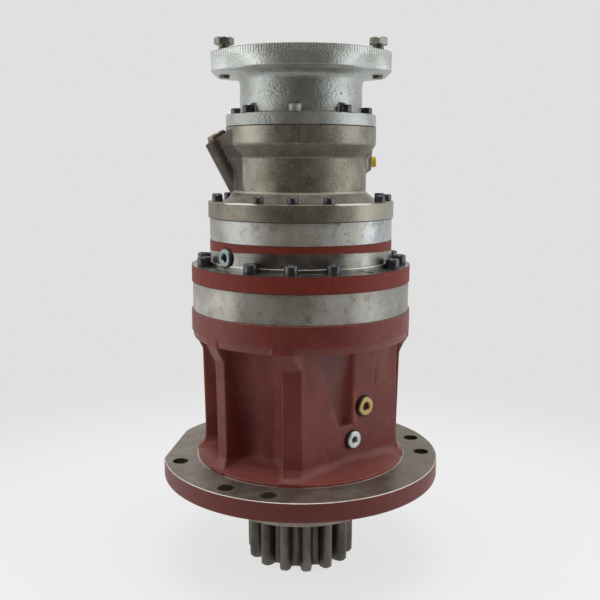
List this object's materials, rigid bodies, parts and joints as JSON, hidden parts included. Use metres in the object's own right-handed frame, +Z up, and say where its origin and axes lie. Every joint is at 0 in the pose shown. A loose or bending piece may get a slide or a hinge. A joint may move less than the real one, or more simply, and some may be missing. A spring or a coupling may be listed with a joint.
{
  "type": "excavator swing gearbox",
  "caption": "Two-stage planetary swing drive with ribbed red housing, output pinion, parking brake and motor adapter.",
  "frame": {"origin": "centre of the mounting flange's underside, on the gear axis", "axes": "+Z up along the gear axis to the motor flange, -Y to the front as pictured, +X to the right"},
  "size_m": [0.3959, 0.3971, 0.747],
  "materials": {
    "red_paint": "dark red primer on cast iron",
    "machined_steel": "turned steel",
    "zinc_plate": "zinc plated steel",
    "seal_rubber": "black nitrile rubber",
    "bearing_steel": "ground bearing steel",
    "plug_brass": "yellow passivated plug",
    "ring_gear_steel": "bare turned steel",
    "black_screws": "black oxide screws",
    "dark_casting": "dark bronze grey casting",
    "disc_steel": "steel brake discs",
    "washer_copper": "copper sealing washer",
    "yellow_plastic": "yellow protective cap",
    "grey_casting": "rough grey casting",
    "spring_steel": "hardened spring steel",
    "pinion_steel": "hardened gear steel, dark",
    "carrier_iron": "machined ductile iron",
    "gear_steel": "hardened gear steel",
    "friction_lining": "sintered lining on a steel core",
    "bush_bronze": "bearing bronze"
  },
  "bodies": {
    "gearbox": {"housing": "red_paint", "seal_plate": "machined_steel", "seal_plate_screws": "zinc_plate", "shaft_seal": "seal_rubber", "lower_bearing_cup": "bearing_steel", "upper_bearing_cup": "bearing_steel", "level_plug": "plug_brass", "drain_plug": "zinc_plate", "plug_washers": "seal_rubber", "output_ring_gear": "ring_gear_steel", "stage_cover": "red_paint", "stage_plug": "zinc_plate", "stage_cover_screws": "black_screws", "input_ring_gear": "ring_gear_steel", "brake_housing": "dark_casting", "brake_housing_screws": "black_screws", "brake_steel_discs": "disc_steel", "port_plug": "zinc_plate", "port_washer": "washer_copper", "release_port_cap": "yellow_plastic", "motor_adapter": "grey_casting", "adapter_screws": "black_screws", "motor_bolts": "black_screws", "input_bearing_outer_ring": "bearing_steel", "lower_disc_spring": "spring_steel", "upper_disc_spring": "spring_steel"},
    "output": {"output_shaft": "pinion_steel", "lower_bearing_cone": "bearing_steel", "upper_bearing_cone": "bearing_steel", "bearing_nut": "machined_steel", "output_carrier": "carrier_iron", "output_pins": "bearing_steel"},
    "middle": {"output_sun": "gear_steel", "input_carrier": "carrier_iron", "input_pins": "bearing_steel"},
    "input": {"input_shaft": "gear_steel", "brake_friction_discs": "friction_lining", "input_bearing_inner_ring": "bearing_steel", "bearing_snap_ring": "spring_steel"},
    "brake_piston": {"brake_piston": "machined_steel"},
    "output_planet_1": {"output_planet_1": "gear_steel", "output_bush_1": "bush_bronze"},
    "input_planet_1": {"input_planet_1": "gear_steel", "input_bush_1": "bush_bronze"},
    "output_planet_2": {"output_planet_2": "gear_steel", "output_bush_2": "bush_bronze"},
    "input_planet_2": {"input_planet_2": "gear_steel", "input_bush_2": "bush_bronze"},
    "output_planet_3": {"output_planet_3": "gear_steel", "output_bush_3": "bush_bronze"},
    "input_planet_3": {"input_planet_3": "gear_steel", "input_bush_3": "bush_bronze"}
  },
  "joints": [
    {"name": "output_spin", "type": "hinge", "parent": "gearbox", "child": "output", "pos_m": [0, 0, 0], "axis": [0, 0, 1], "continuous": true},
    {"name": "middle_spin", "type": "hinge", "parent": "gearbox", "child": "middle", "pos_m": [0, 0, 0.3], "axis": [0, 0, 1], "continuous": true},
    {"name": "input_spin", "type": "hinge", "parent": "gearbox", "child": "input", "pos_m": [0, 0, 0.5], "axis": [0, 0, 1], "continuous": true},
    {"name": "output_planet_1_spin", "type": "hinge", "parent": "output", "child": "output_planet_1", "pos_m": [0, 0.081, 0.2635], "axis": [0, 0, 1], "continuous": true},
    {"name": "output_planet_2_spin", "type": "hinge", "parent": "output", "child": "output_planet_2", "pos_m": [-0.07015, -0.0405, 0.2635], "axis": [0, 0, 1], "continuous": true},
    {"name": "output_planet_3_spin", "type": "hinge", "parent": "output", "child": "output_planet_3", "pos_m": [0.07015, -0.0405, 0.2635], "axis": [0, 0, 1], "continuous": true},
    {"name": "input_planet_1_spin", "type": "hinge", "parent": "middle", "child": "input_planet_1", "pos_m": [0, 0.06825, 0.3579], "axis": [0, 0, 1], "continuous": true},
    {"name": "input_planet_2_spin", "type": "hinge", "parent": "middle", "child": "input_planet_2", "pos_m": [-0.05911, -0.03413, 0.3579], "axis": [0, 0, 1], "continuous": true},
    {"name": "input_planet_3_spin", "type": "hinge", "parent": "middle", "child": "input_planet_3", "pos_m": [0.05911, -0.03413, 0.3579], "axis": [0, 0, 1], "continuous": true},
    {"name": "brake_release", "type": "slide", "parent": "gearbox", "child": "brake_piston", "axis": [0, 0, 1], "range_m": [0, 0.002], "stiffness_N_per_m": 400000, "springref_m": -0.002, "deforming": ["lower_disc_spring", "upper_disc_spring"]}
  ],
  "couplings": [
    {"joint": "middle_spin", "follows": "output_spin", "ratio": 4},
    {"joint": "input_spin", "follows": "output_spin", "ratio": 17.333},
    {"joint": "output_planet_1_spin", "follows": "output_spin", "ratio": -3},
    {"joint": "output_planet_2_spin", "follows": "output_spin", "ratio": -3},
    {"joint": "output_planet_3_spin", "follows": "output_spin", "ratio": -3},
    {"joint": "input_planet_1_spin", "follows": "output_spin", "ratio": -11.429},
    {"joint": "input_planet_2_spin", "follows": "output_spin", "ratio": -11.429},
    {"joint": "input_planet_3_spin", "follows": "output_spin", "ratio": -11.429}
  ]
}
